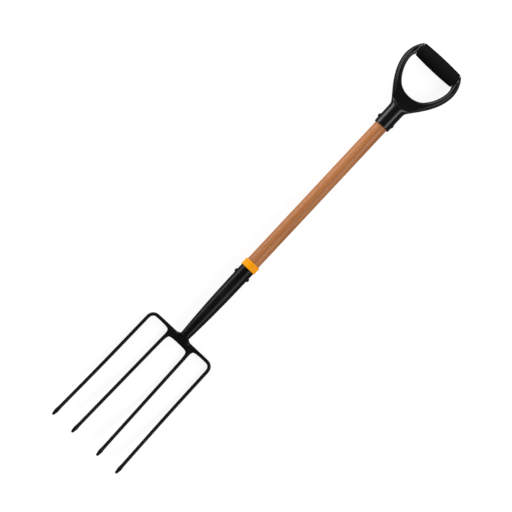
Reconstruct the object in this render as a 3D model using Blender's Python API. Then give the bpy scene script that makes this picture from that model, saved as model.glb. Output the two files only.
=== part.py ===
"""D-handle fork: a forged four-tine head, a steel ferrule, an ash shaft and a moulded D-shaped hand grip.

The fork lies on its back. +X runs along the handle, from the tines towards the grip. +Y runs across the head, and
+Z is up, out of the front of the fork. The origin is on the floor, under the middle of the fork's length. All
lengths are in metres. A station is a distance along the handle from the shoulder, which is the edge of the
crossbar that faces the grip: stations on the tines are negative.
"""

import math

import bmesh
import bpy
from mathutils import Vector

# Gap between two pieces that touch, and the depth by which joined forms reach into each other.
CLEARANCE = 0.0003
BURY = 0.0005

# Crossbar and tines.
TINE_REACH = 0.2937
TINE_WIDTH = 0.0075
TINE_ROOT_DEPTH = 0.0110
TINE_TIP_DEPTH = 0.0062
TINE_SWELL_WIDTH = 0.0087
TINE_SWELL_LENGTH = 0.022
TINE_POINT_LENGTH = 0.012
TINE_POINT_WIDTH = 0.0036
TINE_POINT_DEPTH = 0.0022
TINE_SPLAY = math.radians(1.0)
TINE_CURVE_RADIUS = 1.15
TINE_LOW_POINT = 0.040
TINE_EDGE_ROUNDING = 0.0022
OUTER_TINE_OFFSET = 0.0821
OUTER_TINE_BOW = 0.0006
INNER_TINE_OFFSET = 0.02945
BAR_THICKNESS = 0.0074
BAR_EXTRA_DEPTH = 0.0008
BAR_CORNER_RADIUS = 0.014

# Web plate between the inner tines, and the hub that joins it to the neck.
WEB_REACH = 0.0171
WEB_DEPTH = 0.0080
WEB_OUTER_FILLET = 0.0115
WEB_INNER_FILLET = 0.0115
WEB_EDGE_BEVEL = 0.0014
HUB_HALF_WIDTH = 0.0170
HUB_FRONT_SWELL = 0.0016
HUB_END_INSET = 0.0008
HUB_SPREAD_POWER = 1.1
HUB_DROP_POWER = 0.85
HUB_SWELL_CYCLES = 1.6
HUB_END_NARROWING = 0.50
NECK_INSERTION = 0.022
TANG_BELOW_RIVET = 0.0273
TANG_ROOT_WIDTH = 0.0112
TANG_TIP_WIDTH = 0.0056

# Shaft, ferrule and collar.
SHAFT_RADIUS = 0.0145
SHAFT_INSERTION = 0.052
SHAFT_END_CHAMFER = 0.0015
FERRULE_START = 0.0063
FERRULE_LENGTH = 0.1929
FERRULE_STEP = 0.00125
FERRULE_MOUTH_RADIUS = 0.0108
FERRULE_WALL = 0.0013
FERRULE_TAPER_POWER = 2.6
COLLAR_ON_FERRULE = 0.0080
COLLAR_ON_SHAFT = 0.0079
COLLAR_WALL = 0.0015
COLLAR_RIM_ROUNDING = 0.0020

# Rivets, which lie across the handle.
RIVET_SHANK_RADIUS = 0.0025
RIVET_HEAD_RADIUS = 0.0040
RIVET_HEAD_HEIGHT = 0.0027
RIVET_LOW_HEAD_HEIGHT = 0.0014
RIVET_CROWN_RADIUS = 0.0003
FERRULE_RIVET_INSET = 0.0256
GRIP_RIVET_INSET = 0.0146

# D grip: socket, flared web, arms and the bar through the soft sleeve. A reach is measured from the socket's mouth.
SOCKET_START = 0.5873
SOCKET_STRAIGHT_REACH = 0.0462
SOCKET_WALL = 0.0032
SOCKET_MOUTH_CHAMFER = 0.0010
FLARE_HALF_DEPTH = 0.0115
FLARE_SQUARENESS = 2.4
FLARE_LAST_SHARE = 0.46
ARM_JOINED_SHARE = 0.36
OUTLINE_WIDEST_REACH = 0.1462
OUTLINE_HALF_WIDTH = 0.0664
OUTLINE_FLARE_HANDLE = 0.0115
OUTLINE_SIDE_HANDLE = 0.0520
OUTLINE_TOP_SIDE_HANDLE = 0.0178
OUTLINE_TOP_END_HANDLE = 0.0049
OPENING_REACH = 0.0833
OPENING_SHOULDER_REACH = 0.1008
OPENING_SHOULDER_OFFSET = 0.0366
OPENING_SHOULDER_TURN = math.radians(37)
OPENING_WIDEST_REACH = 0.1437
OPENING_HALF_WIDTH = 0.0525
OPENING_BOTTOM_HANDLE = 0.0165
OPENING_CORNER_HANDLE = 0.0199
OPENING_FLANK_HANDLE = 0.0110
OPENING_SIDE_HANDLE = 0.0169
OPENING_TOP_SIDE_HANDLE = 0.0075
OPENING_TOP_END_HANDLE = 0.0008
CROTCH_HALF_DEPTH = 0.0130
ARM_HALF_DEPTH = 0.0092
ARM_FLUTE_DEPTH = 0.0016
ARM_SQUARENESS = 2.6
ARM_END_RADIUS = 0.0144
ARM_END_HALF_DEPTH = 0.0130
HAND_BAR_REACH = 0.1696
CORE_RADIUS = 0.0090

# Soft sleeve on the hand bar.
SLEEVE_LENGTH = 0.0970
SLEEVE_MID_RADIUS = 0.0173
SLEEVE_END_RADIUS = 0.0157
SLEEVE_END_ROUNDING = 0.0024

# Fineness of the round pieces.
ROUND_SIDES = 32
RIVET_SIDES = 16
ARM_SIDES = 20

# Worked out from the sizes above.
FERRULE_TOP_RADIUS = SHAFT_RADIUS + FERRULE_STEP
FERRULE_END = FERRULE_START + FERRULE_LENGTH
FERRULE_RIVET_STATION = FERRULE_END - FERRULE_RIVET_INSET
GRIP_RIVET_STATION = SOCKET_START + GRIP_RIVET_INSET
SOCKET_BORE_RADIUS = SHAFT_RADIUS + CLEARANCE
SOCKET_RADIUS = SOCKET_BORE_RADIUS + SOCKET_WALL
SHAFT_END = SOCKET_START + SHAFT_INSERTION
FLARE_START = SOCKET_START + SOCKET_STRAIGHT_REACH
OUTLINE_WIDEST_STATION = SOCKET_START + OUTLINE_WIDEST_REACH
OPENING_START = SOCKET_START + OPENING_REACH
OPENING_WIDEST_STATION = SOCKET_START + OPENING_WIDEST_REACH
HAND_BAR_STATION = SOCKET_START + HAND_BAR_REACH
HUB_END = WEB_REACH - HUB_END_INSET
NECK_RADIUS = FERRULE_MOUTH_RADIUS - FERRULE_WALL - CLEARANCE
NECK_END = FERRULE_START + NECK_INSERTION
TANG_END = FERRULE_RIVET_STATION - TANG_BELOW_RIVET
TANG_LENGTH = TANG_END - NECK_END
SHOULDER_X = (TINE_REACH - HAND_BAR_STATION - SLEEVE_MID_RADIUS) / 2
AXIS_HEIGHT = SOCKET_RADIUS
BAR_DEPTH = TINE_ROOT_DEPTH + BAR_EXTRA_DEPTH
BAR_HEIGHT = TINE_LOW_POINT**2 / (2 * TINE_CURVE_RADIUS) + TINE_ROOT_DEPTH / 2
TINE_LENGTH = TINE_REACH - BAR_THICKNESS / 2


def clear_scene():
    """Removes every object of the startup scene."""
    for obj in list(bpy.data.objects):
        bpy.data.objects.remove(obj, do_unlink=True)


def finish(name, colour, roughness, metallic):
    """Returns a Principled material."""
    material = bpy.data.materials.new(name)
    material.use_nodes = True
    shader = material.node_tree.nodes["Principled BSDF"]
    shader.inputs["Base Color"].default_value = (*colour, 1.0)
    shader.inputs["Roughness"].default_value = roughness
    shader.inputs["Metallic"].default_value = metallic
    material.diffuse_color = (*colour, 1.0)
    return material


def mix(start, end, share):
    """Returns the value that lies at this share of the way from start to end."""
    return start + (end - start) * share


def ease(share):
    """Returns a share that leaves 0 and reaches 1 without a corner."""
    share = min(max(share, 0.0), 1.0)
    return share * share * (3.0 - 2.0 * share)


def place(station, across, height):
    """Returns the point at this station, this far across the fork and this far above the floor."""
    return Vector((SHOULDER_X + station, across, height))


def on_axis(station, across, above):
    """Returns the point at this station, this far across and above the handle's centre line."""
    return place(station, across, AXIS_HEIGHT + above)


def lofted(name, rings, closed=False):
    """Returns an object whose skin runs through the rings, with flat ends or joined up on itself."""
    mesh = bmesh.new()
    loops = [[mesh.verts.new(point) for point in ring] for ring in rings]
    pairs = list(zip(loops, loops[1:]))
    if closed:
        pairs.append((loops[-1], loops[0]))
    else:
        mesh.faces.new(loops[0])
        mesh.faces.new(loops[-1])
    for first, second in pairs:
        count = len(first)
        for index in range(count):
            after = (index + 1) % count
            mesh.faces.new((first[index], first[after], second[after], second[index]))
    return solid_object(name, mesh)


def solid_object(name, mesh):
    """Turns a closed bmesh into an object with its faces pointing out, shaded smooth up to its edges."""
    bmesh.ops.recalc_face_normals(mesh, faces=mesh.faces)
    data = bpy.data.meshes.new(name)
    mesh.to_mesh(data)
    mesh.free()
    data.shade_smooth()
    data.set_sharp_from_angle(angle=math.radians(35))
    obj = bpy.data.objects.new(name, data)
    bpy.context.scene.collection.objects.link(obj)
    return obj


def oval(half_width, half_depth, power, sides, flute=0.0):
    """Returns a ring of (across, depth) pairs: a round for power 2, squarer above it, with a flute in both faces."""
    ring = []
    for index in range(sides):
        angle = 2 * math.pi * index / sides
        across = math.copysign(abs(math.cos(angle)) ** (2 / power), math.cos(angle))
        depth = math.copysign(abs(math.sin(angle)) ** (2 / power), math.sin(angle))
        groove = flute * max(0.0, 1.0 - (2.0 * across) ** 2)
        ring.append((across * half_width, depth * half_depth - math.copysign(groove, depth)))
    return ring


def rounded_box(width, depth, rounding):
    """Returns a ring of (across, depth) pairs: a rectangle with corners rounded by two facets each."""
    rounding = min(rounding, 0.48 * width, 0.48 * depth)
    ring = []
    for quarter in range(4):
        middle = math.pi / 4 + quarter * math.pi / 2
        centre_across = math.copysign(width / 2 - rounding, math.cos(middle))
        centre_depth = math.copysign(depth / 2 - rounding, math.sin(middle))
        for turn in (-math.pi / 4, 0.0, math.pi / 4):
            across = centre_across + rounding * math.cos(middle + turn)
            ring.append((across, centre_depth + rounding * math.sin(middle + turn)))
    return ring


def turned_along_handle(name, profile, closed):
    """Returns a piece turned about the handle's centre line, from (station, radius) pairs."""
    rings = []
    for station, radius in profile:
        rings.append([on_axis(station, a, d) for a, d in oval(radius, radius, 2, ROUND_SIDES)])
    return lofted(name, rings, closed)


def turned_across(name, station, profile, sides, closed=False):
    """Returns a piece turned about a line across the handle, from (distance across, radius) pairs."""
    rings = []
    for across, radius in profile:
        rings.append([on_axis(station + a, across, d) for a, d in oval(radius, radius, 2, sides)])
    return lofted(name, rings, closed)


def combine(target, helper, operation):
    """Adds a Boolean of the helper to the target, and keeps the helper out of the result."""
    helper.hide_render = True
    helper.display_type = "WIRE"
    modifier = target.modifiers.new(helper.name, "BOOLEAN")
    modifier.operation = operation
    modifier.solver = "EXACT"
    modifier.object = helper


def tine_across(offset, bow, below):
    """Returns how far across a tine's centre line lies, at this distance below the crossbar's centre line."""
    share = below / TINE_LENGTH
    return offset + below * math.tan(TINE_SPLAY) - bow * math.sin(math.pi * share) ** 2


def tine_depth(below):
    """Returns the front-to-back depth of a tine at this distance below the crossbar's centre line."""
    to_tip = TINE_LENGTH - below
    if to_tip < TINE_POINT_LENGTH:
        return mix(TINE_POINT_DEPTH, TINE_TIP_DEPTH, math.sin(math.pi / 2 * to_tip / TINE_POINT_LENGTH))
    return mix(TINE_ROOT_DEPTH, TINE_TIP_DEPTH, max(below, 0.0) / (TINE_LENGTH - TINE_POINT_LENGTH))


def tine_width(below):
    """Returns the width of a tine: even, then a swell before the blunt point."""
    to_tip = TINE_LENGTH - below
    if to_tip < TINE_POINT_LENGTH:
        return mix(TINE_POINT_WIDTH, TINE_SWELL_WIDTH, math.sin(math.pi / 2 * to_tip / TINE_POINT_LENGTH))
    if to_tip < TINE_SWELL_LENGTH:
        share = (to_tip - TINE_POINT_LENGTH) / (TINE_SWELL_LENGTH - TINE_POINT_LENGTH)
        return mix(TINE_SWELL_WIDTH, TINE_WIDTH, ease(share))
    return TINE_WIDTH


def tine_height(below):
    """Returns the height of a tine's centre line: its back curves up from the floor towards the tip."""
    if below < 0:
        return BAR_HEIGHT
    return (below - TINE_LOW_POINT) ** 2 / (2 * TINE_CURVE_RADIUS) + tine_depth(below) / 2


def tine_stops(first):
    """Returns distances below the crossbar's centre line, closer together along the swell and the point."""
    swell = TINE_LENGTH - TINE_SWELL_LENGTH
    point = TINE_LENGTH - TINE_POINT_LENGTH
    stops = [mix(first, swell, index / 10) for index in range(11)]
    stops += [mix(swell, point, index / 3) for index in range(1, 4)]
    stops += [mix(point, TINE_LENGTH, share) for share in (0.3, 0.55, 0.75, 0.9, 1.0)]
    return stops


def swept(name, stops):
    """Returns a bar swept through stops, each a centre point, a width, a depth and a rounding."""
    rings = []
    up = Vector((0.0, 0.0, 1.0))
    for index, (centre, width, depth, rounding) in enumerate(stops):
        before = stops[max(index - 1, 0)][0]
        after = stops[min(index + 1, len(stops) - 1)][0]
        along = (after - before).normalized()
        side = up.cross(along).normalized()
        front = along.cross(side)
        rings.append([centre + side * a + front * d for a, d in rounded_box(width, depth, rounding)])
    return lofted(name, rings)


def tine_stop(offset, bow, side, below):
    """Returns one stop of a swept tine on this side of the fork."""
    across = side * tine_across(offset, bow, below)
    centre = place(-BAR_THICKNESS / 2 - below, across, tine_height(below))
    return centre, tine_width(below), tine_depth(below), TINE_EDGE_ROUNDING


def outer_frame():
    """Returns the crossbar and the two outer tines, bent from one bar."""
    tangent = BAR_CORNER_RADIUS / math.tan((math.pi / 2 + TINE_SPLAY) / 2)
    steps = 7
    half = []
    corner_across = OUTER_TINE_OFFSET - tangent
    for index in range(steps + 1):
        share = index / steps
        turn = share * (math.pi / 2 - TINE_SPLAY)
        below = BAR_CORNER_RADIUS * (1 - math.cos(turn))
        centre = place(
            -BAR_THICKNESS / 2 - below,
            corner_across + BAR_CORNER_RADIUS * math.sin(turn),
            mix(BAR_HEIGHT, tine_height(BAR_CORNER_RADIUS), ease(share)),
        )
        width = mix(BAR_THICKNESS, TINE_WIDTH, share)
        depth = mix(BAR_DEPTH, tine_depth(BAR_CORNER_RADIUS), ease(share))
        half.append((centre, width, depth, TINE_EDGE_ROUNDING))
    for below in tine_stops(BAR_CORNER_RADIUS + TINE_LOW_POINT / 4):
        half.append(tine_stop(OUTER_TINE_OFFSET, OUTER_TINE_BOW, 1, below))
    mirrored = []
    for centre, width, depth, rounding in reversed(half):
        mirrored.append((Vector((centre.x, -centre.y, centre.z)), width, depth, rounding))
    return swept("fork_head", mirrored + half)


def inner_tine(side):
    """Returns one inner tine, which starts inside the crossbar."""
    stops = [tine_stop(INNER_TINE_OFFSET, 0.0, side, below) for below in tine_stops(0.0)]
    return swept("inner_tine_form", stops)


def web_plate():
    """Returns the plate between the inner tines, filleted into them and into the crossbar."""
    bar_edge = -BAR_THICKNESS + BURY
    outer_start = bar_edge - WEB_OUTER_FILLET
    inner_start = -WEB_REACH - WEB_INNER_FILLET
    outer_side = tine_across(INNER_TINE_OFFSET, 0.0, -outer_start) + TINE_WIDTH / 2 - BURY
    inner_side = tine_across(INNER_TINE_OFFSET, 0.0, -inner_start) - TINE_WIDTH / 2 + BURY
    half = [(-BAR_THICKNESS / 2, outer_side + WEB_OUTER_FILLET + BURY)]
    steps = 6
    for index in range(steps + 1):
        turn = math.pi / 2 * index / steps
        station = outer_start + WEB_OUTER_FILLET * math.cos(turn)
        half.append((station, outer_side + WEB_OUTER_FILLET * (1 - math.sin(turn))))
    for index in range(steps + 1):
        turn = math.pi / 2 * index / steps
        station = inner_start + WEB_INNER_FILLET * math.sin(turn)
        half.append((station, inner_side - WEB_INNER_FILLET * (1 - math.cos(turn))))
    outline = half + [(station, -across) for station, across in reversed(half)]
    rings = []
    for height in (BAR_HEIGHT - WEB_DEPTH / 2, BAR_HEIGHT + WEB_DEPTH / 2):
        rings.append([place(station, across, height) for station, across in outline])
    plate = lofted("web_form", rings)
    bevel = plate.modifiers.new("edge", "BEVEL")
    bevel.width = WEB_EDGE_BEVEL
    bevel.segments = 2
    bevel.limit_method = "ANGLE"
    bevel.angle_limit = math.radians(60)
    return plate


def hub():
    """Returns the neck that enters the ferrule, and the hub that spreads from it into the crossbar and web."""
    bolster_radius = FERRULE_MOUTH_RADIUS
    bolster = FERRULE_START - CLEARANCE
    rings = []
    for station, radius in ((NECK_END, NECK_RADIUS), (bolster, NECK_RADIUS)):
        rings.append([on_axis(station, a, d) for a, d in oval(radius, radius, 2, ROUND_SIDES)])
    steps = 9
    for index in range(steps + 1):
        share = index / steps
        station = mix(bolster, -HUB_END, share)
        to_shoulder = min(share * (bolster + HUB_END) / bolster, 1.0)
        past_shoulder = ease(max(0.0, -station) / HUB_END)
        half_width = mix(bolster_radius, HUB_HALF_WIDTH, to_shoulder**HUB_SPREAD_POWER)
        half_width *= mix(1.0, HUB_END_NARROWING, past_shoulder)
        swell = HUB_FRONT_SWELL * math.sin(math.pi * min(HUB_SWELL_CYCLES * share, 1.0))
        half_depth = mix(bolster_radius, WEB_DEPTH / 2 - BURY, ease(share)) + swell
        height = mix(AXIS_HEIGHT, BAR_HEIGHT, ease(share**HUB_DROP_POWER))
        rings.append([place(station, a, height + d) for a, d in oval(half_width, half_depth, 2, ROUND_SIDES)])
    return lofted("hub_form", rings)


def square_tang(name, extra, start, end):
    """Returns the tapered square tang, or with extra width the hole that takes it."""
    rings = []
    for station in (start, end):
        share = (station - NECK_END) / TANG_LENGTH
        half = mix(TANG_ROOT_WIDTH, TANG_TIP_WIDTH, share) / 2 + extra
        corners = ((half, half), (-half, half), (-half, -half), (half, -half))
        rings.append([on_axis(station, a, d) for a, d in corners])
    return lofted(name, rings)


def fork_head():
    """Returns the whole forging: crossbar, four tines, web, hub, neck and tang."""
    head = outer_frame()
    for side in (-1, 1):
        combine(head, inner_tine(side), "UNION")
    combine(head, web_plate(), "UNION")
    neck = hub()
    combine(neck, square_tang("tang_form", 0.0, NECK_END - BURY, TANG_END), "UNION")
    combine(head, neck, "UNION")
    return head


def ferrule_radius(station):
    """Returns the ferrule's outer radius: it narrows ever faster towards its mouth."""
    share = min((station - FERRULE_START) / FERRULE_LENGTH, 1.0)
    return mix(FERRULE_MOUTH_RADIUS, FERRULE_TOP_RADIUS, 1 - (1 - share) ** FERRULE_TAPER_POWER)


def ferrule_stations(start):
    """Returns stations from this one to the ferrule's upper end, closer together near the mouth."""
    count = 12
    return [mix(start, FERRULE_END, (index / count) ** 1.4) for index in range(count + 1)]


def rivet_hole(station, reach):
    """Returns the cutter for a rivet's hole, this far to both sides of the handle's centre line."""
    radius = RIVET_SHANK_RADIUS + CLEARANCE
    return turned_across("rivet_hole_form", station, ((-reach, radius), (reach, radius)), RIVET_SIDES)


def ferrule():
    """Returns the tapered steel tube, with a hole for its rivet."""
    stations = ferrule_stations(FERRULE_START)
    profile = [(station, ferrule_radius(station)) for station in stations]
    profile += [(station, ferrule_radius(station) - FERRULE_WALL) for station in reversed(stations)]
    tube = turned_along_handle("ferrule", profile, closed=True)
    combine(tube, rivet_hole(FERRULE_RIVET_STATION, 2 * FERRULE_TOP_RADIUS), "DIFFERENCE")
    return tube


def handle_shaft():
    """Returns the ash shaft: turned to fit the ferrule, bored for the tang and drilled for both rivets."""
    start = NECK_END + CLEARANCE
    fit = FERRULE_WALL + CLEARANCE
    profile = [(station, ferrule_radius(station) - fit) for station in ferrule_stations(start)]
    profile.append((FERRULE_END + CLEARANCE, ferrule_radius(FERRULE_END) - fit))
    profile.append((FERRULE_END + CLEARANCE, SHAFT_RADIUS))
    profile.append((SHAFT_END - SHAFT_END_CHAMFER, SHAFT_RADIUS))
    profile.append((SHAFT_END, SHAFT_RADIUS - SHAFT_END_CHAMFER))
    shaft = turned_along_handle("handle_shaft", profile, closed=False)
    bore = square_tang("tang_hole_form", CLEARANCE, start - BURY, TANG_END + CLEARANCE)
    combine(shaft, bore, "DIFFERENCE")
    for station in (FERRULE_RIVET_STATION, GRIP_RIVET_STATION):
        combine(shaft, rivet_hole(station, 2 * SHAFT_RADIUS), "DIFFERENCE")
    return shaft


def collar():
    """Returns the plastic ring over the ferrule's upper end, with a bore stepped to the shaft."""
    start = FERRULE_END - COLLAR_ON_FERRULE
    step = FERRULE_END + CLEARANCE
    end = FERRULE_END + COLLAR_ON_SHAFT
    ferrule_bore = FERRULE_TOP_RADIUS + CLEARANCE
    shaft_bore = SHAFT_RADIUS + CLEARANCE
    outside = ferrule_bore + COLLAR_WALL
    rounding = min(COLLAR_RIM_ROUNDING, 0.8 * COLLAR_WALL)
    turns = [math.pi / 2 * index / 3 for index in range(4)]
    profile = [(start, ferrule_bore)]
    for turn in turns:
        station = start + COLLAR_RIM_ROUNDING * (1 - math.cos(turn))
        profile.append((station, outside - rounding * (1 - math.sin(turn))))
    for turn in reversed(turns):
        station = end - COLLAR_RIM_ROUNDING * (1 - math.cos(turn))
        profile.append((station, outside - rounding * (1 - math.sin(turn))))
    profile += [(end, shaft_bore), (step, shaft_bore), (step, ferrule_bore)]
    return turned_along_handle("collar", profile, closed=True)


def rivet_head(name, station, tube_radius, side, height):
    """Returns a domed head that sits on a round tube lying along the handle."""
    inside = tube_radius - RIVET_HEAD_RADIUS**2 / tube_radius
    top = tube_radius + CLEARANCE
    profile = [(inside, RIVET_HEAD_RADIUS), (top, RIVET_HEAD_RADIUS)]
    for turn in (math.radians(28), math.radians(55), math.radians(78)):
        profile.append((top + height * math.sin(turn), RIVET_HEAD_RADIUS * math.cos(turn)))
    profile.append((top + height, RIVET_CROWN_RADIUS))
    mirrored = [(side * across, radius) for across, radius in profile]
    head = turned_across(name + "_head_form", station, mirrored, RIVET_SIDES)
    reach = 2 * RIVET_HEAD_RADIUS
    tube = ((station - reach, top), (station + reach, top))
    combine(head, turned_along_handle(name + "_seat_form", tube, closed=False), "DIFFERENCE")
    return head


def rivet(name, station, tube_radius, low_head_height):
    """Returns a rivet across the handle: a domed head at +Y, and a head of the given height at -Y."""
    reach = tube_radius + CLEARANCE + BURY
    shank = ((-reach, RIVET_SHANK_RADIUS), (reach, RIVET_SHANK_RADIUS))
    pin = turned_across(name, station, shank, RIVET_SIDES)
    for side, height in ((1, RIVET_HEAD_HEIGHT), (-1, low_head_height)):
        combine(pin, rivet_head(name, station, tube_radius, side, height), "UNION")
    return pin


def bezier(start, start_handle, end_handle, end, share):
    """Returns the point at this share of a cubic curve, as a (station, across) vector."""
    rest = 1 - share
    return (
        rest**3 * Vector(start)
        + 3 * rest**2 * share * Vector(start_handle)
        + 3 * rest * share**2 * Vector(end_handle)
        + share**3 * Vector(end)
    )


def outline_side(share):
    """Returns a point on the grip's outer edge, from the socket to the grip's widest place."""
    return bezier(
        (FLARE_START, SOCKET_RADIUS),
        (FLARE_START + OUTLINE_FLARE_HANDLE, SOCKET_RADIUS),
        (OUTLINE_WIDEST_STATION - OUTLINE_SIDE_HANDLE, OUTLINE_HALF_WIDTH),
        (OUTLINE_WIDEST_STATION, OUTLINE_HALF_WIDTH),
        share,
    )


def outline_top(share):
    """Returns a point on the grip's outer edge, from its widest place to the end of the sleeve."""
    end = SLEEVE_LENGTH / 2 + CLEARANCE
    top = HAND_BAR_STATION + ARM_END_RADIUS
    return bezier(
        (OUTLINE_WIDEST_STATION, OUTLINE_HALF_WIDTH),
        (OUTLINE_WIDEST_STATION + OUTLINE_TOP_SIDE_HANDLE, OUTLINE_HALF_WIDTH),
        (top, end + OUTLINE_TOP_END_HANDLE),
        (top, end),
        share,
    )


def opening_side(share):
    """Returns a point on the hand opening's edge, from the middle of the web round its shoulder to its widest place."""
    shoulder = Vector((SOCKET_START + OPENING_SHOULDER_REACH, OPENING_SHOULDER_OFFSET))
    way = Vector((math.cos(OPENING_SHOULDER_TURN), math.sin(OPENING_SHOULDER_TURN)))
    if share < 0.5:
        bottom = (OPENING_START, 0.0)
        bottom_handle = (OPENING_START, OPENING_BOTTOM_HANDLE)
        return bezier(bottom, bottom_handle, shoulder - way * OPENING_CORNER_HANDLE, shoulder, 2 * share)
    widest = (OPENING_WIDEST_STATION, OPENING_HALF_WIDTH)
    side_handle = (OPENING_WIDEST_STATION - OPENING_SIDE_HANDLE, OPENING_HALF_WIDTH)
    return bezier(shoulder, shoulder + way * OPENING_FLANK_HANDLE, side_handle, widest, 2 * share - 1)


def opening_top(share):
    """Returns a point on the hand opening's edge, from its widest place to the end of the sleeve."""
    end = SLEEVE_LENGTH / 2 + CLEARANCE
    top = HAND_BAR_STATION - ARM_END_RADIUS
    return bezier(
        (OPENING_WIDEST_STATION, OPENING_HALF_WIDTH),
        (OPENING_WIDEST_STATION + OPENING_TOP_SIDE_HANDLE, OPENING_HALF_WIDTH),
        (top, end + OPENING_TOP_END_HANDLE),
        (top, end),
        share,
    )


def arm_ring(outside, inside, half_depth, power, flute):
    """Returns a ring of the arm between a point on its outer edge and one on the opening's edge."""
    middle = (outside + inside) / 2
    reach = (outside - inside) / 2
    ring = []
    for across, depth in oval(1.0, half_depth, power, ARM_SIDES, flute):
        point = middle + reach * across
        ring.append(on_axis(point.x, point.y, depth))
    return ring


def grip_ring():
    """Returns the D-shaped ring: crotch, two fluted arms and the round bar through the sleeve."""
    half = []
    crotch = Vector((OPENING_START - 2 * CROTCH_HALF_DEPTH, 0.0))
    steps = 14
    for index in range(steps + 1):
        share = index / steps
        outside = crotch.lerp(outline_side(share), ease(share / ARM_JOINED_SHARE))
        half_depth = mix(CROTCH_HALF_DEPTH, ARM_HALF_DEPTH, ease(share))
        flute = ARM_FLUTE_DEPTH * ease(2.5 * (share - ARM_JOINED_SHARE) / (1 - ARM_JOINED_SHARE))
        half.append(arm_ring(outside, opening_side(share**1.35), half_depth, ARM_SQUARENESS, flute))
    steps = 7
    for index in range(1, steps + 1):
        share = index / steps
        half_depth = mix(ARM_HALF_DEPTH, ARM_END_HALF_DEPTH, ease(share))
        flute = ARM_FLUTE_DEPTH * (1 - ease(1.4 * share))
        power = mix(ARM_SQUARENESS, 2.0, share)
        half.append(arm_ring(outline_top(share), opening_top(share), half_depth, power, flute))
    end = SLEEVE_LENGTH / 2 + CLEARANCE
    core_top = Vector((HAND_BAR_STATION + CORE_RADIUS, end))
    core_bottom = Vector((HAND_BAR_STATION - CORE_RADIUS, end))
    half.append(arm_ring(core_top, core_bottom, CORE_RADIUS, 2.0, 0.0))
    mirrored = []
    for ring in reversed(half[1:]):
        mirrored.append([Vector((point.x, -point.y, point.z)) for point in ring])
    return lofted("grip_ring_form", half + mirrored, closed=True)


def d_grip():
    """Returns the grip moulding: socket, flare and D-shaped ring, bored for the shaft and drilled for its rivet."""
    rings = []
    chamfered = SOCKET_RADIUS - SOCKET_MOUTH_CHAMFER
    mouth = ((SOCKET_START, chamfered), (SOCKET_START + SOCKET_MOUTH_CHAMFER, SOCKET_RADIUS))
    for station, radius in mouth:
        rings.append([on_axis(station, a, d) for a, d in oval(radius, radius, 2, ROUND_SIDES)])
    steps = 9
    for index in range(steps + 1):
        share = index / steps
        edge = outline_side(FLARE_LAST_SHARE * share)
        fade = ease((share - 0.7) / 0.3)
        half_width = edge.y - 4 * BURY * fade
        half_depth = mix(SOCKET_RADIUS, FLARE_HALF_DEPTH, ease(share / 0.8)) * (1 - 0.45 * fade)
        section = oval(half_width, half_depth, mix(2.0, FLARE_SQUARENESS, share), ROUND_SIDES)
        rings.append([on_axis(edge.x, a, d) for a, d in section])
    grip = lofted("d_grip", rings)
    combine(grip, grip_ring(), "UNION")
    bore = ((SOCKET_START - SOCKET_WALL, SOCKET_BORE_RADIUS), (SHAFT_END + CLEARANCE, SOCKET_BORE_RADIUS))
    combine(grip, turned_along_handle("socket_bore_form", bore, closed=False), "DIFFERENCE")
    combine(grip, rivet_hole(GRIP_RIVET_STATION, 2 * SOCKET_RADIUS), "DIFFERENCE")
    return grip


def grip_sleeve():
    """Returns the soft barrel-shaped sleeve round the hand bar."""
    bore = CORE_RADIUS + CLEARANCE
    half = SLEEVE_LENGTH / 2
    barrel_half = half - SLEEVE_END_ROUNDING
    end = []
    for turn in (0.0, math.pi / 6, math.pi / 3):
        across = barrel_half + SLEEVE_END_ROUNDING * math.cos(turn)
        end.append((across, SLEEVE_END_RADIUS - SLEEVE_END_ROUNDING * (1 - math.sin(turn))))
    profile = [(-half, bore)] + [(-across, radius) for across, radius in end]
    steps = 12
    for index in range(steps + 1):
        across = mix(-barrel_half, barrel_half, index / steps)
        radius = mix(SLEEVE_MID_RADIUS, SLEEVE_END_RADIUS, (across / barrel_half) ** 2)
        profile.append((across, radius))
    profile += end[::-1] + [(half, bore)]
    return turned_across("grip_sleeve", HAND_BAR_STATION, profile, ROUND_SIDES, closed=True)


def main():
    """Builds every piece, gives it its material and hangs it on one empty."""
    clear_scene()
    black_steel = finish("black_painted_steel", (0.018, 0.018, 0.019), 0.38, 0.0)
    black_tube = finish("black_painted_tube", (0.016, 0.016, 0.017), 0.34, 0.0)
    rivet_steel = finish("black_rivet_steel", (0.03, 0.03, 0.032), 0.35, 0.0)
    ash = finish("stained_ash", (0.43, 0.17, 0.065), 0.48, 0.0)
    yellow = finish("yellow_plastic", (1.0, 0.39, 0.015), 0.40, 0.0)
    black_plastic = finish("black_moulded_plastic", (0.015, 0.015, 0.016), 0.42, 0.0)
    soft_black = finish("soft_black_rubber", (0.012, 0.012, 0.013), 0.80, 0.0)
    ferrule_seat = ferrule_radius(FERRULE_RIVET_STATION)
    ferrule_rivet = rivet("ferrule_rivet", FERRULE_RIVET_STATION, ferrule_seat, RIVET_HEAD_HEIGHT)
    grip_rivet = rivet("grip_rivet", GRIP_RIVET_STATION, SOCKET_RADIUS, RIVET_LOW_HEAD_HEIGHT)
    dressed = (
        (fork_head(), black_steel),
        (ferrule(), black_tube),
        (ferrule_rivet, rivet_steel),
        (collar(), yellow),
        (handle_shaft(), ash),
        (d_grip(), black_plastic),
        (grip_sleeve(), soft_black),
        (grip_rivet, rivet_steel),
    )
    root = bpy.data.objects.new("fork", None)
    bpy.context.scene.collection.objects.link(root)
    for obj, material in dressed:
        obj.data.materials.append(material)
        obj.parent = root


main()
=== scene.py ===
"""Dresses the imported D-handle fork: fine meshes, finishes, floor, light and camera.

The fork lies on its back, with +X along the handle towards the grip, +Y across the head and +Z up, out of its
front. All lengths are in metres. A station is a distance along the handle from the shoulder, the edge of the
crossbar that faces the grip, so stations on the tines are negative.
"""

from __future__ import annotations

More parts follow.
